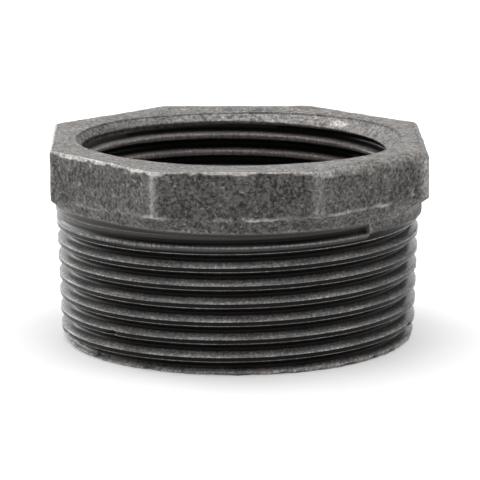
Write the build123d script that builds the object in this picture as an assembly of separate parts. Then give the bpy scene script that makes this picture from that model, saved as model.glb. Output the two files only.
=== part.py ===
from build123d import *
from build123d.topology import SkipClean
from math import atan, cos, degrees, pi, radians, sin, tan
import os

# Reducing bushing for screwed iron pipe: an eight-sided head for the spanner, a short round
# collar under it, a tapered male pipe thread outside and a parallel female pipe thread inside.
# One malleable iron casting, threaded outside and inside in two machine passes.
# Millimetres. The axis is Z, the thread end stands on Z = 0 and the head is up.

overall_length = 26.3

# Whitworth form pipe threads, eleven to the inch
pitch = 25.4 / 11
flank_angle = 27.5
thread_depth = 0.640327 * pitch

# Male thread, tapered 1 in 16 on the diameter, size 1 1/2
male_gauge_diameter = 47.803
male_gauge_length = 12.7
male_taper = 1 / 16
male_crest_flat = 0.65          # crests are cut flat, a little below the full form
male_stop_angle = -46.5         # where the die stopped and the groove ends
male_fade_turns = 1.3           # turns over which the last groove gets shallow
lead_depth = 1.20925            # how far the starting bevel cuts under the full thread form
lead_height = 1.2

# Female thread, parallel, size 1 1/4
female_major_diameter = 41.910
female_minor_diameter = female_major_diameter - 2 * thread_depth
female_entry_angle = 96.4       # angle of the groove's middle at the level of the top face
female_thread_length = 11.0     # top face to the end of the last groove
female_fade_turns = 1.0
mouth_over_thread = 0.69        # cast countersink that leads a pipe into the thread
mouth_diameter = female_major_diameter + mouth_over_thread
mouth_depth = 1.85
bore_end_bevel = 0.5

# Casting: the collar clears the male thread, the shoulder clears the collar and the head clears
# the shoulder. All are placed from the head's top face.
head_sides = 8
head_height = 8.0               # top face to the cast shoulder
head_corner_height = 5.7        # height of a vertical corner edge of the head
head_corner_round = 1.0         # rounding of the vertical corner edges
head_rim_round = 0.6            # rounding of the head's top edge
head_over_shoulder = 0.6        # across the flats
shoulder_height = overall_length - head_height
shoulder_over_collar = 0.7
shoulder_step_height = 0.3      # height of the small bevel from collar to shoulder
collar_height = 1.7             # turned band between the shoulder and the thread
collar_foot = shoulder_height - collar_height
collar_turned_down = 0.14675    # under the full thread form at the collar's foot
male_stop_height = shoulder_height - collar_height / 2

# Resolution of the threads' edges, and sizes of the cutters outside the body
points_per_turn = 12
cutters_per_turn = 2
cutter_width = 0.95 * pitch     # under the pitch, so that a cutter's turns stay apart
clear_of_body = 5.0
walls_per_turn = 4              # a round wall is kept as quarters, so that no face winds far


def full_thread_diameter(height):
    """The gauged size of the male thread, before its crests are cut flat."""
    return male_gauge_diameter + (height - male_gauge_length) * male_taper


def collar_diameter():
    return full_thread_diameter(collar_foot) - collar_turned_down


def shoulder_diameter():
    return collar_diameter() + shoulder_over_collar


def head_across_flats():
    return shoulder_diameter() + head_over_shoulder


def groove_slope():
    """Half the groove's width for each millimetre above its root.

    The groove is as wide at the crests and as deep as the standard form, with a sharp root
    where the real one is rounded, so its flanks open a little wider than flank_angle.
    """
    crest_width = pitch / 2 + thread_depth * tan(radians(flank_angle))
    return crest_width / 2 / thread_depth


def male_root_radius(height):
    return full_thread_diameter(height) / 2 - thread_depth


def male_crest_radius(height):
    return male_root_radius(height) + (pitch - male_crest_flat) / 2 / groove_slope()


def screw_edge(radius_at, height_at, angle_at, first_turn, last_turn):
    """A smooth edge that winds round the axis once for each turn."""
    steps = round((last_turn - first_turn) * points_per_turn)
    turns = [first_turn + (last_turn - first_turn) * step / steps for step in range(steps + 1)]
    points = [
        Vector(
            radius_at(turn) * cos(radians(angle_at(turn))),
            radius_at(turn) * sin(radians(angle_at(turn))),
            height_at(turn),
        )
        for turn in turns
    ]
    return Edge.make_spline(points, parameters=turns)


def cutter_piece(root_radius_at, outward, height_at, angle_at, first_turn, last_turn):
    """One stretch of the solid that a thread groove leaves empty, with a V for its section.

    outward is 1 for a groove that is cut from outside and -1 for one that is cut from inside.
    """
    reach = outward * cutter_width / 2 / groove_slope()
    section = [(0, 0), (reach, cutter_width / 2), (reach, -cutter_width / 2)]
    edges = [
        screw_edge(
            lambda turn, out=out: root_radius_at(turn) + out,
            lambda turn, up=up: height_at(turn) + up,
            angle_at,
            first_turn,
            last_turn,
        )
        for out, up in section
    ]
    sides = [Face.make_surface_from_curves(edges[i - 1], edges[i]) for i in range(len(edges))]
    ends = [Face(Wire.make_polygon([edge @ end for edge in edges])) for end in (0, 1)]
    return Solid(Shell(sides + ends))


def groove_cutters(root_radius_at, outward, height_at, angle_at, first_turn, last_turn):
    """The whole groove, from pieces of about half a turn that meet end to end."""
    count = round((last_turn - first_turn) * cutters_per_turn)
    joins = [first_turn + (last_turn - first_turn) * i / count for i in range(count + 1)]
    return [
        cutter_piece(root_radius_at, outward, height_at, angle_at, joins[i], joins[i + 1])
        for i in range(count)
    ]


def male_groove():
    """Groove of the outer thread, from below the thread end up to where the die stopped."""
    first_turn = -(male_stop_height + pitch) / pitch

    def height_at(turn):
        return male_stop_height + pitch * turn

    def angle_at(turn):
        return male_stop_angle + 360 * turn

    def root_radius_at(turn):
        full_root = male_root_radius(height_at(turn))
        faded = max(0, 1 + turn / male_fade_turns) ** 2
        return full_root + (collar_diameter() / 2 - full_root) * faded

    return groove_cutters(root_radius_at, 1, height_at, angle_at, first_turn, 0)


def female_groove():
    """Groove of the inner thread, from where the tap stopped up to above the mouth."""
    first_turn = -female_thread_length / pitch
    last_turn = cutter_width / pitch

    def height_at(turn):
        return overall_length + pitch * turn

    def angle_at(turn):
        return female_entry_angle + 360 * turn

    def root_radius_at(turn):
        faded = max(0, 1 - (turn - first_turn) / female_fade_turns) ** 2
        return female_major_diameter / 2 - thread_depth * faded

    return groove_cutters(root_radius_at, -1, height_at, angle_at, first_turn, last_turn)


def turned_quarters(profile):
    """A solid of revolution from a half section of (radius, height) points, as equal sectors."""
    section = Face(Wire.make_polygon([(radius, 0, height) for radius, height in profile]))
    sector = revolve(section, Axis.Z, 360 / walls_per_turn)
    return [Rot(0, 0, turn * 360 / walls_per_turn) * sector for turn in range(walls_per_turn)]


def widening(foot_across, top_across, top_level, first_corner):
    """An eight-sided block that widens from the shoulder's foot to a size at a level."""
    foot_level = shoulder_height + shoulder_step_height
    foot_corner = foot_across / 2 / cos(pi / head_sides)
    slope = (top_across - foot_across) / 2 / (top_level - foot_level)
    foot = Pos(0, 0, foot_level) * RegularPolygon(foot_corner, head_sides, rotation=first_corner)
    return extrude(foot, overall_length - foot_level, taper=-degrees(atan(slope)))


def head():
    """Eight flats of one height, over a shoulder cut back under the flats and the corners."""
    corner_radius = head_across_flats() / 2 / cos(pi / head_sides)
    foot_level = shoulder_height + shoulder_step_height
    corner_level = overall_length - head_corner_height
    half_side = 180 / head_sides
    outline = RegularPolygon(corner_radius, head_sides, rotation=half_side)
    outline = Pos(0, 0, foot_level) * fillet(outline.vertices(), head_corner_round)
    plate = extrude(outline, overall_length - foot_level)
    plate = fillet(plate.edges().group_by(Axis.Z)[-1], head_rim_round)
    under_flats = widening(shoulder_diameter(), head_across_flats(), corner_level, half_side)
    under_corners = widening(shoulder_diameter(), 2 * corner_radius, corner_level, 0)
    return plate & under_flats & under_corners


def outer_form():
    """Everything outside, before the threads: body, collar, shoulder and head."""
    quarters = turned_quarters([
        (0, 0),
        (full_thread_diameter(0) / 2 - lead_depth / 2, 0),
        (male_crest_radius(lead_height), lead_height),
        (male_crest_radius(collar_foot), collar_foot),
        (collar_diameter() / 2, collar_foot),
        (collar_diameter() / 2, shoulder_height),
        (shoulder_diameter() / 2, shoulder_height + shoulder_step_height),
        (0, shoulder_height + shoulder_step_height),
    ])
    return quarters[0].fuse(*quarters[1:], head())


def bore():
    """Tapping hole with the cast mouth and the end bevel."""
    radius = female_minor_diameter / 2
    profile = [
        (0, -clear_of_body),
        (radius + bore_end_bevel + clear_of_body, -clear_of_body),
        (radius, bore_end_bevel),
        (radius, overall_length - mouth_depth),
        (mouth_diameter / 2, overall_length),
        (mouth_diameter / 2, overall_length + clear_of_body),
        (0, overall_length + clear_of_body),
    ]
    return turned_quarters(profile)


def bushing():
    """The finished casting, with its round walls left as quarters."""
    with SkipClean():
        body = outer_form().cut(*bore())
        body = body.cut(*male_groove())
        return body.cut(*female_groove())


os.makedirs("parts", exist_ok=True)
export_step(bushing(), "parts/bushing.step")
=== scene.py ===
from math import cos, pi, radians, sin, tan

import bpy
import numpy as np
from mathutils import Matrix, Vector


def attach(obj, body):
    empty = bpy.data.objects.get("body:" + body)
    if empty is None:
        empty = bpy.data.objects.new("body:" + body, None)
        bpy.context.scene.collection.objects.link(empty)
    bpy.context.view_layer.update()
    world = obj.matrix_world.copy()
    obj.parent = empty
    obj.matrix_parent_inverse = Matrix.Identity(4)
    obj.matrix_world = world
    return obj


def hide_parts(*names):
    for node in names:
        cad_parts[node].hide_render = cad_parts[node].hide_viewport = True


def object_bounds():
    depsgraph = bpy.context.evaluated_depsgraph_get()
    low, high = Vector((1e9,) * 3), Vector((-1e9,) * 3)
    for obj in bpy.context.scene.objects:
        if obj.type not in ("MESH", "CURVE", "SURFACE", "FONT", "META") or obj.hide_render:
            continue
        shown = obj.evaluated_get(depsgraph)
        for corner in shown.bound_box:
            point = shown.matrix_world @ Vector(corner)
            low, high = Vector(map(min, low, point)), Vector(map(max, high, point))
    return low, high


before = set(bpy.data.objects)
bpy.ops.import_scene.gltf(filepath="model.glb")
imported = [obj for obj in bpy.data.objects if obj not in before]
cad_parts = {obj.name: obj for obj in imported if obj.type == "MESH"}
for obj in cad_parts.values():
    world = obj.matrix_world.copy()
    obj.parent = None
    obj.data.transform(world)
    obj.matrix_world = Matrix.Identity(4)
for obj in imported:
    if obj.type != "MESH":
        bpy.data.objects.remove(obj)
cad_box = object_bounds()

MM = 0.001                     # the shape is worked out in millimetres and scaled at the end

# ---------------------------------------------------------------- the casting, mm and degrees
# Directions are degrees round the axis: -90 is the front, 0 the right side.
length = round(cad_box[1][2] / MM, 3)      # the thread end stands on zero
collar_radius = 24.05
collar_shift = 0.13            # the collar was cast this far off the axis, to the right
band_radius = 23.88            # what the die head turned smooth under the shoulder
mouth_depth = 2.1
mouth_rounding = 0.16          # of the edge between the top face and the mouth's cone
ridge_rise = 0.24              # of the flats' lower edge, where it stands out over the shoulder
ridge_width = 0.20
bore_end_bevel = 0.5

# The head's corners as cast, in turn round the axis: place, rounding.
head_corners = [
    ((24.59, -10.7), 0.8),
    ((24.35, 10.9), 1.2),
    ((10.3, 24.5), 0.9),
    ((-10.4, 24.6), 0.9),
    ((-24.6, 10.7), 0.7),
    ((-24.1, -9.3), 1.4),
    ((-10.5, -24.3), 0.9),
    ((10.1, -24.6), 0.4),
]
corner_reach = 0.42            # about where a corner's rounding ends, in its radii
corner_points, flat_points = 9, 80
corner_start = (26.1, 26.45)   # radii between which a flat turns into a corner
corner_wear = 0.675

# Direction, how far the head's top edge is rounded off.
rim_rounding = [
    (-180, 0.45), (-158, 0.35), (-135, 0.25), (-112, 0.18), (-90, 0.18), (-76, 0.25), (-68, 0.6),
    (-55, 1.1), (-20, 1.2), (0, 0.9), (45, 0.8), (90, 0.6), (135, 0.7), (180, 0.45),
]
# Direction, how brightly that edge is rubbed.
lip_wear = [
    (-180, 0.7), (-150, 1.0), (-112, 1.0), (-80, 0.9), (-68, 0.5), (-50, 0.15), (0, 0.2),
    (90, 0.35), (180, 0.7),
]
# Direction, height of the flats' lower edge.
ridge_heights = [
    (-180, 19.45), (-158, 19.5), (-135, 19.9), (-113, 20.35), (-102, 20.15), (-92, 19.85),
    (-80, 20.0), (-68, 20.35), (-45, 20.2), (-23, 19.95), (0, 19.95), (45, 20.3), (90, 20.2),
    (135, 20.3), (158, 19.6), (180, 19.45),
]
# Direction, height of the collar's top, where the cast shoulder begins.
collar_heights = [
    (-180, 17.75), (-165, 18.0), (-150, 18.5), (-135, 18.6), (-110, 18.4), (-60, 18.35),
    (0, 18.2), (60, 18.4), (120, 18.2), (160, 18.0), (180, 17.75),
]
# Direction, radius where the mouth's cone starts in the top face.
mouth_edge = [
    (-180, 21.2), (-162, 20.7), (-150, 20.2), (-128, 19.75), (-90, 19.7), (-70, 19.75),
    (-60, 19.95), (-37, 20.8), (-15, 21.4), (20, 21.5), (60, 20.9), (90, 20.35), (130, 20.8),
    (180, 21.2),
]
# Direction, how far the top face has sunk at the mouth.
mouth_dips = [
    (-180, 0.05), (0, 0.05), (40, 0.1), (70, 0.33), (90, 0.4), (115, 0.33), (150, 0.1), (180, 0.05),
]

# Edges and patches that wander round the axis: layers of amount, grain in millimetres, seed.
rim_wander = [(0.22, 2.2, 51), (0.14, 0.9, 52)]
mouth_wander = [(0.05, 2.5, 53)]
ridge_wander = [(0.13, 3.0, 54), (0.09, 1.0, 55)]
ridge_step_wander = [(0.1, 2.0, 56)]
thread_end_wander = [(0.16, 1.4, 61), (0.10, 0.6, 62)]
flank_patches = [(0.5, 4.0, 64)]
thread_end_chips = [(0.5, 0.8, 65), (0.3, 2.4, 66)]
side_patches = [(0.5, 2.0, 71)]
lip_drips = [(0.5, 0.9, 72), (0.25, 2.5, 73)]
mouth_patches = [(0.5, 1.5, 74)]

# What the sand leaves in the cast skin: how deep, how wide, seed.
sand_lumps = [(0.05, 4.5, 81), (0.045, 1.3, 82), (0.05, 0.62, 83)]
noise_values = 4096
noise_primes = (73856093, 19349663, 83492791)  # they mix a grain's place into one number

# ---------------------------------------------------------------- the pipe threads, mm and turns
pitch = 25.4 / 11
flank_angle = radians(27.5)
flank_rise = 1 / tan(flank_angle)          # for each millimetre along the axis
thread_depth = 0.640327 * pitch
root_round = 0.1373 * pitch
thread_radius = 23.5                       # about the middle of the outer thread, for noise and nicks

male_root_start = 47.009 / 2 - thread_depth
taper = 1 / 32                             # on the radius
male_crest_flat = 0.62
lead_height = 1.2                          # bevel that starts the outer thread
lead_radius = 22.75
die_stop_height = 17.45
die_stop_angle = -46.5
collar_foot = 16.5
collar_foot_rise = 0.45                    # the collar starts higher in the turn before the stop
collar_foot_slope = 1.6
cast_foot = 16.8                           # where the collar's cast skin and the stop's edge begin
collar_dirt_height, collar_dirt = 17.95, 0.35
band_start = (-0.62, -0.5)                 # turns before the stop over which the smooth band begins
band_end = (-0.0045, -0.001)
band_lip_drop = 0.12                       # the cast collar stands out over the band from here up
band_lip_slope = 2.5
# Turns before the die stopped, depth of the last groove.
groove_depths = [(-1.5, 1.0), (-1.15, 0.97), (-0.85, 0.8), (-0.55, 0.45), (-0.33, 0.27), (0.0, 0.3)]

female_root = 41.91 / 2
female_crest = 19.55
female_crest_flat = 0.62
female_crest_edge = (pitch - female_crest_flat) / 2    # from the groove's middle
female_entry_angle = 96.4
female_thread_end = 15.3                   # below it the bore is plain
bore_thread_foot = female_thread_end - 0.6     # the wall is already plain here
bore_thread_top = length - mouth_depth - 0.12  # clear of the mouth's cone

crest_blend = 0.10                         # rounding where a groove meets a crest
lead_blend = 0.08
torn_grain, torn_seed = 0.55, 63           # of the metal that the die tore along the crests
torn_depth = 0.035
out_of_reach = 99.0

# How bright each part of the outer thread is rubbed, with painted highlight lines along the crests' edges
# and on the upper flanks, stronger in front: distance above the groove's middle, wear and highlight in
# front, wear and highlight elsewhere.
flank_wear_and_highlights = [
    (-1.1545, 0.0, 0.0), (-0.93, 0.0, 0.0), (-0.87, 1.0, 1.0), (-0.80, 0.72, 0.6),
    (-0.62, 1.0, 0.42), (-0.44, 0.85, 0.2), (-0.26, 0.03, 0.05), (0.0, 0.0, 0.0), (0.80, 0.0, 0.0),
    (0.87, 0.8, 0.8), (0.93, 0.0, 0.0), (1.1545, 0.0, 0.0),
]
# Painted highlights are strongest round this direction, the front.
front_of_highlights, spread_of_highlights = -98, 38    # degrees

# Nicks in the outside: direction, height, half width, half height, depth.
nicks = [
    (-133.1, 4.15, 0.42, 0.3, 0.7), (-17.7, 2.45, 0.45, 0.35, 0.5), (-163.0, 1.0, 0.9, 0.6, 0.35),
    (-120.0, 0.15, 0.7, 0.35, 0.35), (-97.0, 0.1, 1.0, 0.3, 0.3), (-75.0, 0.2, 0.5, 0.35, 0.35),
    (-52.0, 0.1, 1.2, 0.3, 0.25), (-30.0, 0.3, 0.6, 0.4, 0.3), (-143.0, 0.4, 0.35, 0.4, 0.2),
    (-155.0, 0.9, 0.35, 0.3, 0.4), (-108.0, 0.1, 0.35, 0.3, 0.4), (-85.0, 0.0, 0.4, 0.3, 0.4),
    (-10.0, 9.2, 0.4, 0.3, 0.25), (30.0, 5.5, 0.5, 0.3, 0.3), (75.0, 0.4, 1.1, 0.4, 0.35),
    (120.0, 9.8, 0.5, 0.3, 0.25), (160.0, 3.2, 0.6, 0.3, 0.3), (-65.0, 11.2, 0.25, 0.2, 0.2),
    (-110.0, 14.9, 0.3, 0.2, 0.2), (-49.3, 15.75, 0.25, 0.25, 0.25),
]

# ---------------------------------------------------------------- fineness of the skin
coarse_columns = 300
fine_columns = 600
# Rows of one turn of a thread, by distance above the groove's middle.
male_rows = [
    -1.02, -0.93, -0.87, -0.80, -0.62, -0.44, -0.26, 0.0, 0.28, 0.55, 0.80, 0.87, 0.93, 1.02, 1.1545,
]
female_rows = [-0.95, -0.80, -0.5, -0.2, 0.2, 0.55, 0.84, 1.0]
# Rings of the head, as shares of the way from one edge to the next.
shoulder_rings = (0.06, 0.2, 0.36, 0.52, 0.68, 0.84, 0.95)
ridge_rings = ((0.02, 0.45, 0.45), (0.12, 0.85, 0.9), (ridge_rise, 1.0, 0.6))    # rise, share out, wear
flat_rings = np.linspace(0.06, 0.94, 13)
drip_rings = (0.4, 0.24, 0.11, 0.0)        # drop under the rounded edge, mm
drip_band = 0.45
edge_rings = 5
top_face_rings = (0.06, 0.2, 0.35, 0.5, 0.65, 0.8, 0.92, 1.0)
cone_rings = (0.03, 0.08, 0.15, 0.24, 0.34, 0.44, 0.54, 0.64, 0.74, 0.82, 0.89, 0.95, 1.0)
plain_bore_rings = 8

# ---------------------------------------------------------------- finishes and light
cast_grain, cast_relief = 2400.0, 0.0003   # cells in a metre, metres
tool_fineness, tool_relief = 5200.0, 0.00002
black_sand, grey_sand = (0.0073, 0.0069, 0.0065, 1), (0.174, 0.169, 0.160, 1)
black_rust, brown_rust = (0.0114, 0.0079, 0.0067, 1), (0.191, 0.166, 0.150, 1)
oily_dirt_and_shade = (0.0064, 0.0056, 0.0048, 1)
bare_casting_and_light = (0.810, 0.774, 0.739, 1)
turned_band = (0.080, 0.0752, 0.072, 1)
thread_oil_and_shade, bare_thread_and_highlight = (0.0064, 0.0056, 0.0056, 1), (0.812, 0.804, 0.778, 1)
bore_oil_and_shade, bare_bore_and_highlight = (0.0096, 0.0088, 0.0096, 1), (0.626, 0.570, 0.552, 1)
floor_paper = (0.85, 0.85, 0.85, 1)
floor_half_width = 1.5         # metres, like the lamps
floor_glow = 0.22              # what the paper lacks to look white
world_light = 0.21
# Name, place, what it points at, width and height, watts.
lamps = [
    ("overhead", (0.0, 0.0, 0.5), (0, 0, 0.01), (0.6, 0.45), 2.76),
    ("behind", (-0.15, 0.65, 0.22), (0, 0, 0.02), (1.0, 0.4), 1.68),
    ("left", (-0.5, 0.35, 0.15), (0, 0, 0.02), (0.5, 0.3), 1.80),
    ("right", (0.5, 0.05, 0.25), (0, 0, 0.02), (0.4, 0.4), 0.36),
]
camera_target = (0.303, 0.0, 12.409)       # millimetres, like its distance
camera_distance = 393.17
camera_elevation = 12.312                  # degrees
camera_roll = -0.187
picture_width = 480                        # pixels
focal_length = 2980.55                     # pixels


# ---------------------------------------------------------------- curves and noise
def smoothstep(edge0, edge1, x):
    s = np.clip((x - edge0) / (edge1 - edge0), 0, 1)
    return s * s * (3 - 2 * s)


def bump(x, middle, half_width):
    return np.exp(-(((x - middle) / half_width) ** 2))


def soft_min(a, b, blend):
    """The smaller of two radii, with the corner between them rounded over blend."""
    h = np.clip(0.5 + 0.5 * (b - a) / blend, 0, 1)
    return b + (a - b) * h - blend * h * (1 - h)


def wrap(angle):
    """The same direction between -pi and pi."""
    return (angle + pi) % (2 * pi) - pi


def degrees_round(angle):
    """The direction in degrees, between -180 and 180."""
    return np.degrees(wrap(angle))


def by_direction(table, angle):
    """A value read from a table of degrees and values."""
    at, value = np.array(table, float).T
    return np.interp(degrees_round(angle), at, value)


def lattice_noise(points, size, seed):
    """Smooth noise in -1..1 whose grains are size millimetres wide."""
    table = np.random.default_rng(seed).uniform(-1, 1, noise_values)
    cell = points / size
    base = np.floor(cell).astype(np.int64)
    part = cell - base
    part = part * part * (3 - 2 * part)
    total = np.zeros(len(points))
    for corner in range(8):
        step = np.array([corner & 1, corner >> 1 & 1, corner >> 2 & 1])
        x, y, z = ((base + step) * noise_primes).T
        index = (x ^ y ^ z) % noise_values
        weight = np.prod(np.where(step == 1, part, 1 - part), axis=1)
        total += weight * table[index]
    return total


def wander(angle, layers, radius=24.0):
    """Noise along a circle, added up from layers of amount, grain and seed."""
    points = np.column_stack([radius * np.cos(angle), radius * np.sin(angle), 0 * angle])
    return sum(amount * lattice_noise(points, size, seed) for amount, size, seed in layers)


# ---------------------------------------------------------------- the head's outline
def rounded_outline():
    """Direction and radius of points along the eight-sided outline, with its corners rounded."""
    places = [np.array(place) for place, _ in head_corners]
    points = []
    for number, (_, rounding) in enumerate(head_corners):
        following = (number + 1) % len(places)
        before, here, after = places[number - 1], places[number], places[following]
        back = (before - here) / np.linalg.norm(before - here)
        on = (after - here) / np.linalg.norm(after - here)
        half = np.arccos(np.clip(back @ on, -1, 1)) / 2
        reach = rounding / np.tan(half)
        centre = here + (back + on) / np.linalg.norm(back + on) * rounding / np.sin(half)
        start, end = here + back * reach - centre, here + on * reach - centre
        for s in np.linspace(0, 1, corner_points):
            spoke = start * (1 - s) + end * s
            points.append(centre + spoke / np.linalg.norm(spoke) * rounding)
        flat_start = here + on * reach
        flat_end = after - on * head_corners[following][1] * corner_reach
        for s in np.linspace(0.03, 0.97, flat_points):
            points.append(flat_start * (1 - s) + flat_end * s)
    points = np.array(points)
    angle = np.arctan2(points[:, 1], points[:, 0])
    order = np.argsort(angle)
    return angle[order], np.hypot(points[:, 0], points[:, 1])[order]


outline_angle, outline_radius = rounded_outline()


def outline(angle):
    return np.interp(wrap(angle), outline_angle, outline_radius, period=2 * pi)


def rim(angle):
    """How far the top edge is rounded off, worn more in some places."""
    return by_direction(rim_rounding, angle) * (1 + wander(angle, rim_wander))


def mouth(angle):
    return by_direction(mouth_edge, angle) + wander(angle, mouth_wander)


def mouth_dip(angle):
    return by_direction(mouth_dips, angle)


def collar_top(angle):
    return by_direction(collar_heights, angle)


def ridge(angle):
    """Height of the flats' lower edge."""
    return by_direction(ridge_heights, angle) + wander(angle, ridge_wander)


def ridge_step(angle):
    """How far the flats stand out over the shoulder under them."""
    return ridge_width + wander(angle, ridge_step_wander)


def cast_collar(angle):
    return collar_radius + collar_shift * np.cos(angle)


# ---------------------------------------------------------------- the outer thread
def groove_rise(distance):
    """Height above the root at a distance from the groove's middle: round root, then flank."""
    bend = root_round * cos(flank_angle)
    in_root = np.minimum(distance, bend)
    root = root_round - np.sqrt(root_round**2 - in_root**2)
    return root + np.maximum(distance - bend, 0) * flank_rise


male_crest_rise = float(groove_rise(np.array((pitch - male_crest_flat) / 2)))


def since_stop(angle):
    """Turns back to where the die stopped: 0 at the stop, -1 just past it."""
    turn = (wrap(angle) - radians(die_stop_angle)) / (2 * pi)
    return turn - np.ceil(turn)


def male_groove(angle, height):
    """Distance up from the nearest groove's middle, and how many turns it is from its end."""
    first = since_stop(angle)
    middle = die_stop_height + pitch * first
    below = np.maximum(np.round((middle - height) / pitch), 0)
    return height - (middle - pitch * below), first - below


def male_body(angle, height):
    """Outside before the groove is cut: lead bevel, crests, turned band and cast collar."""
    root = male_root_start + height * taper
    crest = root + male_crest_rise
    foot = lead_radius + wander(angle, thread_end_wander)
    lead_top = male_root_start + male_crest_rise + lead_height * taper
    lead = foot + (lead_top - foot) * height / lead_height
    back = since_stop(angle)
    band = smoothstep(*band_start, back) * (1 - smoothstep(*band_end, back))
    collar = cast_collar(angle) * (1 - band) + band_radius * band
    start = collar_foot + collar_foot_rise * (1 - smoothstep(-1.0, -0.9, back))
    collar = np.minimum(crest + (height - start) * collar_foot_slope, collar)
    body = np.where(height < start, crest, collar)
    lip = band_radius + (height - collar_top(angle) + band_lip_drop) * band_lip_slope
    body = np.where(band > 0.02, np.maximum(body, np.minimum(lip, cast_collar(angle))), body)
    return np.where(height < lead_height + 0.3, soft_min(body, lead, lead_blend), body), root


def cast_at_collar(angle, height):
    """Whether a place on the collar was left as cast, past where the die stopped."""
    back = since_stop(angle)
    on_band = (back > -0.56) & (back < -0.002)
    return ~on_band & (height > cast_foot + 0.1 * np.sin(40 * angle))


def each_nick(angle, height):
    """Depth of each nick, and how much of it reaches a place."""
    for direction, level, half_width, half_height, depth in nicks:
        along = wrap(angle - radians(direction)) * thread_radius
        yield depth, bump(along, 0, half_width) * bump(height, level, half_height)


def male_radius(angle, height):
    """The outside, from the thread end to the top of the collar."""
    angle, height = np.broadcast_arrays(angle, height)
    offset, turns = male_groove(angle, height)
    body, root = male_body(angle, height)
    depth = np.interp(turns, *np.array(groove_depths).T)
    root = root + (body - root) * (1 - depth)
    groove = root + groove_rise(np.abs(offset))
    groove = np.where(turns > -0.0005, out_of_reach, groove)
    radius = soft_min(body, groove, crest_blend)
    for cut, share in each_nick(angle, height):
        radius = radius - cut * share
    points = np.column_stack([
        (thread_radius * np.cos(angle)).ravel(), (thread_radius * np.sin(angle)).ravel(), height.ravel()
    ])
    torn = lattice_noise(points, torn_grain, torn_seed).reshape(radius.shape)
    near_crest = smoothstep(0.65, 1.0, (radius - root) / np.maximum(body - root, 0.05))
    return radius - torn_depth * near_crest * (torn + 0.4)


def male_finish(angle, height):
    """Where the outer thread is rubbed bright with painted highlights, and where it is black with oil,
    dirt and painted shade.
    """
    offset, turns = male_groove(angle, height)
    in_thread = smoothstep(-0.12, -0.35, turns)

    # Painted highlights: bright lines along the crests' edges and on the upper flanks, stronger in front,
    # with some wear.
    place, in_front, elsewhere = np.array(flank_wear_and_highlights).T
    front = bump(degrees_round(angle), front_of_highlights, spread_of_highlights)
    flank = np.interp(offset, place, in_front) * front + np.interp(offset, place, elsewhere) * (1 - front)
    patchy = 0.5 + wander(angle, flank_patches, thread_radius)
    run_out = bump(-offset, 0.62, 0.13) * 0.5 * (1 - in_thread) * (turns < 0)
    lip = bump(height, collar_top(angle) - 0.08, 0.1) * 0.15
    past_stop = wrap(angle - radians(die_stop_angle)) * band_radius
    at_stop = bump(past_stop, 0.2, 0.12) * (height > cast_foot)
    chipped = 0.5 + wander(angle, thread_end_chips)
    end = bump(height, 0.0, 0.45) * np.clip(1.6 * chipped - 0.2, 0, 1)
    wear_and_painted_light = flank * (0.72 + 0.28 * patchy) * in_thread + run_out + lip + 0.6 * at_stop + end
    for cut, share in each_nick(angle, height):
        wear_and_painted_light = wear_and_painted_light * (1 - min(1.0, 2 * cut) * share)

    # Painted shade: the grooves, the lower flanks and the crest flats are painted black, partly oil and
    # partly painted shade and painted dark reflection, except where rubbed or on the band.
    grooved = np.where(turns < -0.001, 1 - smoothstep(0.4, 0.75, -offset * (1 - in_thread)), 0.0)
    on_band = smoothstep(16.9, 17.5, height) * smoothstep(0.42, 0.62, np.abs(offset)) * (turns > -1.2)
    soot_and_painted_shade = np.clip(grooved * (1 - on_band) - 0.8 * wear_and_painted_light, 0, 1)
    return np.clip(wear_and_painted_light, 0, 1), np.where(height > collar_dirt_height, collar_dirt, soot_and_painted_shade)


# ---------------------------------------------------------------- the bore
def female_groove(angle, height):
    """Distance up from the nearest groove's middle, and how deep the tap has cut there."""
    turn = (wrap(angle) - radians(female_entry_angle)) / (2 * pi)
    middle = length + pitch * turn
    middle = middle + pitch * np.round((height - middle) / pitch)
    return height - middle, smoothstep(female_thread_end, female_thread_end + pitch, middle)


def mouth_wall(angle, height):
    edge = mouth(angle)
    dip = mouth_dip(angle)
    slope = (edge - female_crest) / (mouth_depth - dip)
    return np.maximum(female_crest, edge - (length - dip - height) * slope)


def female_radius(angle, height):
    """Wall of the bore with its thread, and the cast mouth above it."""
    angle, height = np.broadcast_arrays(angle, height)
    offset, cut = female_groove(angle, height)
    groove = female_crest + (female_root - female_crest) * cut - groove_rise(np.abs(offset))
    return -soft_min(-mouth_wall(angle, height), -groove, crest_blend)


def female_finish(angle, height):
    """Where the bore's thread is rubbed bright with painted highlight lines along its crests' edges, and
    where it is black with oil and painted shade.
    """
    offset, cut = female_groove(angle, height)
    edge = female_crest_edge
    upper = smoothstep(0.45, edge, -offset) * (1 - smoothstep(edge + 0.1, edge + 0.2, -offset))
    crest = smoothstep(edge - 0.05, edge + 0.15, np.abs(offset))
    # Painted highlight: a thin bright line along each crest's edge; the rest of the groove gets painted
    # shade.
    wear_and_painted_light = 0.30 * upper + 0.24 * crest + 0.5 * bump(np.abs(offset), edge, 0.04)
    soot_and_painted_shade = 1 - 0.8 * np.clip(upper + crest, 0, 1)
    return wear_and_painted_light * (0.25 + 0.75 * cut), soot_and_painted_shade * (0.3 + 0.7 * cut)


# ---------------------------------------------------------------- joining rings into a skin
CAST, THREAD, BORE = range(3)              # the materials, in their order on the piece


def column_angles():
    """Directions of the coarse columns, drawn together where the die stopped."""
    angle = np.arange(coarse_columns) * 2 * pi / coarse_columns
    stop = radians(die_stop_angle) % (2 * pi)
    nearest = int(np.argmin(np.abs(angle - stop)))
    for column, past_stop in ((-1, -0.9), (0, -0.06), (1, 0.18), (2, 0.9)):
        angle[nearest + column] = stop + radians(past_stop)
    return angle


coarse_angle = column_angles()
fine_angle = np.empty(fine_columns)
fine_angle[0::2] = coarse_angle
fine_angle[1::2] = (coarse_angle + np.append(coarse_angle[1:], 2 * pi)) / 2


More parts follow.
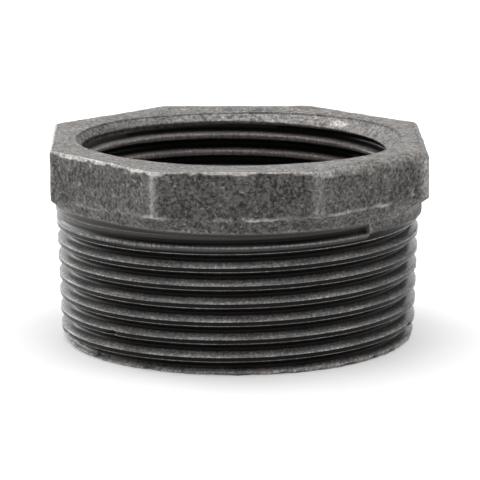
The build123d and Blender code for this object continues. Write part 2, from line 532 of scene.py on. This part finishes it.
class Skin:
    """Rings of points round the axis, joined by faces into one closed surface."""

    def __init__(self):
        self.points = []
        self.wear_and_painted_light = []
        self.soot_and_painted_shade = []
        self.faces = []
        self.kinds = []
        self.kind = CAST           # the material of the faces that are added next

    def add(self, radius, angle, height, wear_and_painted_light, soot_and_painted_shade):
        start = len(self.points)
        self.points += list(np.column_stack([radius * np.cos(angle), radius * np.sin(angle), height]))
        self.wear_and_painted_light += list(np.broadcast_to(wear_and_painted_light, len(radius)))
        self.soot_and_painted_shade += list(np.broadcast_to(soot_and_painted_shade, len(radius)))
        return np.arange(start, start + len(radius))

    def ring(self, angle, radius, height, wear_and_painted_light=0.0, soot_and_painted_shade=0.0):
        radius = np.broadcast_to(np.asarray(radius, float), len(angle))
        height = np.broadcast_to(np.asarray(height, float), len(angle))
        return self.add(radius, angle, height, wear_and_painted_light, soot_and_painted_shade)

    def grow(self, previous, angle, radius, height, wear_and_painted_light=0.0, soot_and_painted_shade=0.0):
        """Carries the surface on from a ring to a new one."""
        ring = self.ring(angle, radius, height, wear_and_painted_light, soot_and_painted_shade)
        self.join(previous, ring)
        return ring

    def face(self, corners):
        """Adds a face, leaving out corners that fall together."""
        kept = [c for i, c in enumerate(corners) if c != corners[i - 1]]
        if len(set(kept)) == len(kept) >= 3:
            self.faces.append(tuple(int(c) for c in kept))
            self.kinds.append(self.kind)

    def join(self, lower, upper):
        """Faces between two rings, the second further along the surface. One may be twice as fine."""
        a, b = len(lower), len(upper)
        for i in range(max(a, b)):
            j = (i + 1) % max(a, b)
            k = i // 2
            if a == b:
                self.face((lower[i], lower[j], upper[j], upper[i]))
            elif a < b and i % 2 == 0:
                self.face((lower[k], upper[j], upper[i]))
            elif a < b:
                self.face((lower[k], lower[(k + 1) % a], upper[j], upper[i]))
            elif i % 2 == 0:
                self.face((lower[i], lower[j], upper[k]))
            else:
                self.face((lower[i], lower[j], upper[(k + 1) % b], upper[k]))

    def screw(self, lower, upper, radius_at, finish_at, bottom, top, start, offsets, inward, cast_at=None):
        """A threaded wall between two rings: its rows wind round with the thread."""
        per_turn = len(offsets)
        turns = int(np.ceil((max(top) - bottom) / pitch)) + 3
        first = np.floor((bottom - start) / pitch) - 2
        rows = np.array([start + pitch * (first + k) + o for k in range(turns + 1) for o in offsets])
        index = np.empty((len(lower), len(rows)), np.int64)
        cast = np.zeros((len(lower), len(rows)), bool)
        kind = self.kind
        clear = 0.03
        for i, a in enumerate(coarse_angle):
            height = rows + pitch * a / (2 * pi)
            inside = (height > bottom + clear) & (height < top[i] - clear)
            index[i, height <= bottom + clear] = lower[i]
            index[i, height >= top[i] - clear] = upper[i]
            z = height[inside]
            at = np.full(len(z), a)
            wear_and_painted_light, soot_and_painted_shade = finish_at(at, z)
            index[i, inside] = self.add(radius_at(at, z), at, z, wear_and_painted_light, soot_and_painted_shade)
            if cast_at:
                cast[i] = cast_at(a, height)
        wrapped = np.full(len(rows), upper[0])
        wrapped[: len(rows) - per_turn] = index[0, per_turn:]
        for i in range(len(lower)):
            here = index[i]
            there = index[i + 1] if i + 1 < len(lower) else wrapped
            for j in range(len(rows) - 1):
                corners = (here[j], there[j], there[j + 1], here[j + 1])
                self.kind = CAST if cast[i, j] else kind
                self.face(corners[::-1] if inward else corners)
        self.kind = kind


# ---------------------------------------------------------------- the parts of the skin, in turn
def outer_thread(skin):
    """Thread and collar. Returns the ring at the thread end and the ring at the collar's top."""
    skin.kind = THREAD
    end = skin.ring(coarse_angle, male_radius(coarse_angle, 0 * coarse_angle), 0.0, wear_and_painted_light=0.5)
    top = collar_top(coarse_angle)
    collar = skin.ring(coarse_angle, male_radius(coarse_angle, top), top, wear_and_painted_light=0.1)
    start = die_stop_height - pitch * die_stop_angle / 360
    skin.screw(
        end, collar, male_radius, male_finish, 0.0, top, start, male_rows, False, cast_at_collar
    )
    return end, collar


def cast_shoulder(skin, ring):
    angle = fine_angle
    foot = collar_top(angle)
    edge = ridge(angle) - 0.08
    under = outline(angle) - ridge_step(angle)
    skin.kind = CAST
    for s in shoulder_rings:
        radius = cast_collar(angle) + (under - cast_collar(angle)) * s
        ring = skin.grow(ring, angle, radius, foot + (edge - foot) * s, wear_and_painted_light=0.15 * bump(s, 0.0, 0.1))
    return ring


def cast_flats(skin, ring):
    """The ridge along the flats' lower edge, the flats, and the bright drips under their top edge."""
    angle = fine_angle
    top = outline(angle)
    under = top - ridge_step(angle)
    foot = ridge(angle)
    patchy = 0.5 + wander(angle, side_patches)
    front = (degrees_round(angle) < -40) * smoothstep(-125, -112, degrees_round(angle))
    for rise, out, wear in ridge_rings:
        wear_and_painted_light = np.clip(wear * (0.35 + front) * (patchy - 0.1), 0, 1)
        ring = skin.grow(ring, angle, under + (top - under) * out, foot + rise, wear_and_painted_light=wear_and_painted_light)
    on_corner = corner_wear * smoothstep(*corner_start, top) * patchy
    top_of_flat = length - rim(angle)
    for s in flat_rings:
        height = (foot + ridge_rise) * (1 - s) + (top_of_flat - drip_band) * s
        ring = skin.grow(ring, angle, top, height, wear_and_painted_light=on_corner)
    drips = 0.5 + wander(angle, lip_drips)
    for drop in drip_rings:
        reach = smoothstep(drop, drop + 0.2, 0.5 * drips) * by_direction(lip_wear, angle)
        wear_and_painted_light = np.clip(on_corner + 0.9 * reach, 0, 1)
        ring = skin.grow(ring, angle, top, top_of_flat - drop, wear_and_painted_light=wear_and_painted_light)
    return ring


def worn_top_edge(skin, ring):
    angle = fine_angle
    rounding = rim(angle)
    patchy = 0.5 + wander(angle, side_patches)
    worn = (0.15 + 0.85 * by_direction(lip_wear, angle)) * (0.7 + 0.3 * patchy)
    for step in range(1, edge_rings + 1):
        bend = step / edge_rings * pi / 2
        ring = skin.grow(
            ring, angle,
            outline(angle) - rounding * (1 - cos(bend)),
            length - rounding * (1 - sin(bend)),
            wear_and_painted_light=np.clip(worn * abs(sin(2 * bend)) ** 0.5, 0, 1),
        )
    return ring


def top_face(skin, ring):
    angle = fine_angle
    outer = outline(angle) - rim(angle)
    edge = mouth(angle) + mouth_rounding
    for s in top_face_rings:
        height = length - mouth_dip(angle) * s**2
        ring = skin.grow(ring, angle, outer * (1 - s) + edge * s, height, wear_and_painted_light=0.12)
    return ring


def mouth_cone(skin, ring):
    """The cast cone down to the thread: painted light makes it paler at the back, with a scrape and a
    painted shade line at its edge.
    """
    angle = fine_angle
    direction = degrees_round(angle)
    patchy = 0.5 + wander(angle, mouth_patches)
    for s in cone_rings:
        drop = mouth_dip(angle) * (1 - s) + mouth_depth * s
        scrape = bump(direction, 47.5, 3.6) * bump(drop, 1.05, 0.28)
        # Painted light: the back half of the cone is painted paler.
        painted_back_light = 0.5 * smoothstep(0.03, 0.15, s) * bump(direction, 80, 62)
        # Painted shade: a dark line just under the cone's top edge.
        ring = skin.grow(
            ring, angle, female_radius(angle, length - drop), length - drop,
            wear_and_painted_light=np.clip(painted_back_light + scrape, 0, 1), soot_and_painted_shade=bump(s, 0.06, 0.05) * (0.6 + 0.4 * patchy),
        )
    return ring


def bore(skin, ring):
    """The bore's thread, and the plain hole under it."""
    angle = coarse_angle
    thread_top = bore_thread_top + 0 * angle
    skin.kind = BORE
    upper = skin.grow(ring, angle, female_radius(angle, thread_top), thread_top)
    ring = skin.ring(angle, female_crest, bore_thread_foot, wear_and_painted_light=0.06, soot_and_painted_shade=0.3)
    start = length - pitch * female_entry_angle / 360
    skin.screw(
        ring, upper, female_radius, female_finish, bore_thread_foot, thread_top, start, female_rows, True
    )
    for height in np.linspace(bore_thread_foot, bore_end_bevel, plain_bore_rings + 1)[1:]:
        ring = skin.grow(ring, angle, female_crest, height, wear_and_painted_light=0.06, soot_and_painted_shade=0.3)
    return ring


def end_face(skin, ring, outer_ring):
    """The bevel at the bore's end, and the flat face out to the start of the thread."""
    angle = coarse_angle
    bevel = female_crest + bore_end_bevel
    skin.kind = CAST
    ring = skin.grow(ring, angle, bevel, 0.0)
    ring = skin.grow(ring, angle, (bevel + male_radius(angle, 0 * angle)) / 2, 0.0)
    skin.join(ring, outer_ring)


def bushing_skin():
    skin = Skin()
    thread_end, ring = outer_thread(skin)
    for part in (cast_shoulder, cast_flats, worn_top_edge, top_face, mouth_cone, bore):
        ring = part(skin, ring)
    end_face(skin, ring, thread_end)
    return skin


def sand_depth(points):
    """How far the sand's lumps and grains push the cast skin in, and nothing where it was cut."""
    radius = np.hypot(points[:, 0], points[:, 1])
    foot = collar_top(np.arctan2(points[:, 1], points[:, 0]))
    cast = smoothstep(foot, foot + 0.3, points[:, 2])
    cast *= smoothstep(female_crest + 0.05, female_crest + 0.4, radius)
    inward = sum(
        depth * (0.5 + 0.5 * lattice_noise(points, size, seed)) for depth, size, seed in sand_lumps
    )
    return cast * inward


def make_bushing(materials):
    skin = bushing_skin()
    points = np.array(skin.points)
    mesh = bpy.data.meshes.new("bushing_casting")
    mesh.from_pydata((points * MM).tolist(), [], skin.faces)
    mesh.update()
    normals = np.empty(points.size)
    mesh.vertices.foreach_get("normal", normals)
    points = points - normals.reshape(-1, 3) * sand_depth(points)[:, None]
    mesh.vertices.foreach_set("co", (points * MM).ravel())
    # Two masks: wear with painted highlights and painted light, and soot with painted shade.
    for name, values in (("wear_and_painted_light", skin.wear_and_painted_light), ("soot_and_painted_shade", skin.soot_and_painted_shade)):
        mesh.attributes.new(name, "FLOAT", "POINT").data.foreach_set("value", values)
    for material in materials:
        mesh.materials.append(material)
    mesh.polygons.foreach_set("material_index", skin.kinds)
    mesh.polygons.foreach_set("use_smooth", [True] * len(mesh.polygons))
    mesh.update()
    piece = bpy.data.objects.new("bushing_casting", mesh)
    bpy.context.scene.collection.objects.link(piece)
    return piece


# ---------------------------------------------------------------- shader nodes
def set_sockets(tree, sockets, inputs):
    """Each input is a value, or another node's output to link from."""
    for name, value in inputs.items():
        if isinstance(value, bpy.types.NodeSocket):
            tree.links.new(value, sockets[name])
        else:
            sockets[name].default_value = value


def node(tree, kind, inputs=None, **settings):
    made = tree.nodes.new(kind)
    for name, value in settings.items():
        setattr(made, name, value)
    set_sockets(tree, made.inputs, inputs or {})
    return made


def noise(tree, place, scale, detail=2.0, **inputs):
    sockets = {"Vector": place, "Scale": scale, "Detail": detail, **inputs}
    return node(tree, "ShaderNodeTexNoise", sockets).outputs["Fac"]


def combine(tree, operation, a, b, clamp=False):
    return node(tree, "ShaderNodeMath", {0: a, 1: b}, operation=operation, use_clamp=clamp).outputs[0]


def times(tree, a, b, clamp=False):
    return combine(tree, "MULTIPLY", a, b, clamp)


def times_plus(tree, value, factor, base):
    sockets = {0: value, 1: factor, 2: base}
    return node(tree, "ShaderNodeMath", sockets, operation="MULTIPLY_ADD").outputs[0]


def ramp(tree, value, low, high):
    made = node(tree, "ShaderNodeMapRange", {"Value": value, "From Min": low, "From Max": high})
    return made.outputs["Result"]


def mix_colour(tree, factor, a, b):
    made = node(tree, "ShaderNodeMix", data_type="RGBA")
    sockets = {socket.identifier: socket for socket in made.inputs}
    set_sockets(tree, sockets, {"Factor_Float": factor, "A_Color": a, "B_Color": b})
    return next(s for s in made.outputs if s.identifier == "Result_Color")


def new_group(name, scale_name, scale, results):
    """A node group with one scale to set, and numbers that change over the surface to take out."""
    group = bpy.data.node_groups.new(name, "ShaderNodeTree")
    socket = group.interface.new_socket(scale_name, in_out="INPUT", socket_type="NodeSocketFloat")
    socket.default_value = scale
    for title in results:
        group.interface.new_socket(title, in_out="OUTPUT", socket_type="NodeSocketFloat")
    return group, group.nodes.new("NodeGroupInput").outputs, group.nodes.new("NodeGroupOutput").inputs


def use_group(tree, group, inputs):
    return node(tree, "ShaderNodeGroup", inputs, node_tree=group).outputs


def make_sand_grain():
    """Relief and mottling of a surface cast in sand. Grain is its cells' number in a metre."""
    results = ("Height", "Mottle", "Specks", "Tint")
    group, inputs, outputs = new_group("sand_grain", "Grain", cast_grain, results)
    place = node(group, "ShaderNodeTexCoord").outputs["Object"]
    grain = inputs["Grain"]
    fine = noise(group, place, grain, 3.0, Roughness=0.65)
    pits = node(group, "ShaderNodeTexVoronoi", {"Vector": place, "Scale": times(group, grain, 0.55)})
    lumps = noise(group, place, times(group, grain, 0.22))
    broad = noise(group, place, 130.0, 3.0)
    specks = noise(group, place, times(group, grain, 0.8), Distortion=0.6)

    height = times_plus(group, pits.outputs["Distance"], 0.35, times(group, fine, 0.6))
    height = times_plus(group, lumps, 0.7, height)
    mottle = times_plus(group, fine, 0.75, times(group, lumps, 0.25))
    set_sockets(group, outputs, {
        "Height": height,
        "Mottle": ramp(group, mottle, 0.40, 0.62),
        "Specks": ramp(group, specks, 0.60, 0.72),
        "Tint": ramp(group, broad, 0.35, 0.65),
    })
    return group


def make_tool_marks():
    """Fine scores that run round the axis, and specks of torn metal."""
    results = ("Scores", "Torn", "Specks", "Tint")
    group, inputs, outputs = new_group("tool_marks", "Fineness", tool_fineness, results)
    place = node(group, "ShaderNodeTexCoord").outputs["Object"]
    round_axis = node(group, "ShaderNodeMapping", {"Vector": place, "Scale": (0.05, 0.05, 1.0)})
    along_axis = node(group, "ShaderNodeMapping", {"Vector": place, "Scale": (1.0, 1.0, 0.2)})
    scores = noise(group, round_axis.outputs["Vector"], inputs["Fineness"])
    torn = noise(group, along_axis.outputs["Vector"], 3000.0)
    specks = noise(group, place, 3300.0)
    broad = noise(group, place, 160.0)
    set_sockets(group, outputs, {
        "Scores": ramp(group, scores, 0.3, 0.7),
        "Torn": ramp(group, torn, 0.36, 0.60),
        "Specks": ramp(group, specks, 0.50, 0.64),
        "Tint": ramp(group, broad, 0.35, 0.65),
    })
    return group


# ---------------------------------------------------------------- materials
def new_material(name):
    material = bpy.data.materials.new(name)
    material.use_nodes = True
    return material, material.node_tree, material.node_tree.nodes["Principled BSDF"].inputs


def mask(tree, name):
    return node(tree, "ShaderNodeAttribute", attribute_name=name).outputs["Fac"]


def relief(tree, height, strength, distance):
    made = node(tree, "ShaderNodeBump", {"Height": height, "Strength": strength, "Distance": distance})
    return made.outputs["Normal"]


def cast_iron(sand_grain):
    """Black malleable iron as cast: sand grain under a film of oil, rubbed bare on its edges."""
    material, tree, shader = new_material("cast_skin")
    sand = use_group(tree, sand_grain, {"Grain": cast_grain})
    wear_and_painted_light = times(tree, mask(tree, "wear_and_painted_light"), times_plus(tree, sand["Mottle"], 0.7, 0.5))
    wear_and_painted_light = combine(tree, "ADD", wear_and_painted_light, times(tree, sand["Specks"], 0.3), True)
    grey = mix_colour(tree, sand["Mottle"], black_sand, grey_sand)
    brown = mix_colour(tree, sand["Mottle"], black_rust, brown_rust)
    skin = mix_colour(tree, times(tree, sand["Tint"], 0.6), grey, brown)
    # The soot mask here also carries painted shade along the mouth's edge, and the rubbed mask carries
    # painted light on the mouth's back.
    skin = mix_colour(tree, times(tree, mask(tree, "soot_and_painted_shade"), 0.85), skin, oily_dirt_and_shade)
    set_sockets(tree, shader, {
        "Base Color": mix_colour(tree, wear_and_painted_light, skin, bare_casting_and_light),
        "Roughness": times_plus(tree, sand["Mottle"], -0.12, 0.60),
        "Metallic": times(tree, wear_and_painted_light, 0.6),
        "Normal": relief(tree, sand["Height"], 1.0, cast_relief),
    })
    return material


def threaded_iron(tool_marks, name, oil_and_shade, bare_and_highlight, roughness):
    """A thread cut with oil: black in the grooves with oil and painted shade, bright where the flanks and
    crests are rubbed and painted with highlights.
    """
    material, tree, shader = new_material(name)
    marks = use_group(tree, tool_marks, {"Fineness": tool_fineness})
    wear_and_painted_light = times(tree, mask(tree, "wear_and_painted_light"), times_plus(tree, marks["Scores"], 0.5, 0.5), True)
    wear_and_painted_light = times(tree, wear_and_painted_light, times_plus(tree, marks["Torn"], 0.5, 0.5), True)
    wear_and_painted_light = times(tree, wear_and_painted_light, times_plus(tree, marks["Specks"], 0.75, 0.78))
    redder = (bare_and_highlight[0] * 1.02, bare_and_highlight[1] * 0.97, bare_and_highlight[2] * 0.96, 1)
    bright = mix_colour(tree, marks["Tint"], bare_and_highlight, redder)
    # The soot mask paints shade in the black colour; the rubbed mask paints highlights in the bare colour.
    dark = mix_colour(tree, mask(tree, "soot_and_painted_shade"), turned_band, oil_and_shade)
    set_sockets(tree, shader, {
        "Base Color": mix_colour(tree, wear_and_painted_light, dark, bright),
        "Metallic": times(tree, wear_and_painted_light, 0.2),
        "Roughness": times_plus(tree, marks["Scores"], 0.12, roughness),
        "Specular IOR Level": 0.05,
        "Coat Weight": 0.7,
        "Coat IOR": 1.19,
        "Coat Roughness": 0.18,
        "Normal": relief(tree, marks["Scores"], 0.35, tool_relief),
    })
    return material


def white_paper():
    """Paper that looks white to the camera and in bright metal, and keeps the shadow."""
    material, tree, shader = new_material("floor_paper")
    ray = node(tree, "ShaderNodeLightPath").outputs
    seen = combine(tree, "MAXIMUM", ray["Is Camera Ray"], ray["Is Glossy Ray"])
    seen = combine(tree, "MAXIMUM", seen, ray["Is Transmission Ray"])
    set_sockets(tree, shader, {
        "Base Color": floor_paper,
        "Roughness": 0.9,
        "Emission Color": (1, 1, 1, 1),
        "Emission Strength": times(tree, seen, floor_glow),
    })
    return material


# ---------------------------------------------------------------- camera and stage
def make_camera():
    """Looks at the bushing from its front, a little above."""
    camera = bpy.data.cameras.new("camera")
    camera.lens = focal_length / picture_width * camera.sensor_width
    camera.clip_start = 0.01
    back = Vector((0, -cos(radians(camera_elevation)), sin(radians(camera_elevation))))
    roll = Matrix.Rotation(radians(camera_roll), 3, back)
    right = roll @ Vector((1, 0, 0))
    up = roll @ back.cross(Vector((1, 0, 0)))
    holder = bpy.data.objects.new("camera", camera)
    holder.matrix_world = Matrix((right, up, back)).transposed().to_4x4()
    holder.location = (Vector(camera_target) + back * camera_distance) * MM
    bpy.context.scene.collection.objects.link(holder)
    bpy.context.scene.camera = holder


def make_lamp(name, place, target, size, power):
    lamp = bpy.data.lights.new(name, "AREA")
    lamp.shape = "RECTANGLE"
    lamp.size, lamp.size_y = size
    lamp.energy = power
    holder = bpy.data.objects.new(name, lamp)
    holder.location = place
    holder.rotation_euler = (Vector(target) - Vector(place)).to_track_quat("-Z", "Y").to_euler()
    bpy.context.scene.collection.objects.link(holder)


def make_stage():
    mesh = bpy.data.meshes.new("floor")
    half = floor_half_width
    corners = [(-half, -half, 0), (half, -half, 0), (half, half, 0), (-half, half, 0)]
    mesh.from_pydata(corners, [], [(0, 1, 2, 3)])
    mesh.materials.append(white_paper())
    floor = bpy.data.objects.new("floor", mesh)
    bpy.context.scene.collection.objects.link(floor)
    world = bpy.data.worlds.new("studio")
    world.use_nodes = True
    background = world.node_tree.nodes["Background"].inputs
    set_sockets(world.node_tree, background, {"Color": (1, 1, 1, 1), "Strength": world_light})
    bpy.context.scene.world = world
    for lamp in lamps:
        make_lamp(*lamp)


bpy.context.scene.view_settings.view_transform = "Standard"
tool_marks = make_tool_marks()
bushing = make_bushing([
    cast_iron(make_sand_grain()),
    threaded_iron(tool_marks, "cut_thread", thread_oil_and_shade, bare_thread_and_highlight, 0.40),
    threaded_iron(tool_marks, "oiled_and_shaded_bore", bore_oil_and_shade, bare_bore_and_highlight, 0.28),
])
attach(bushing, "root")
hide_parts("bushing")
make_camera()
make_stage()
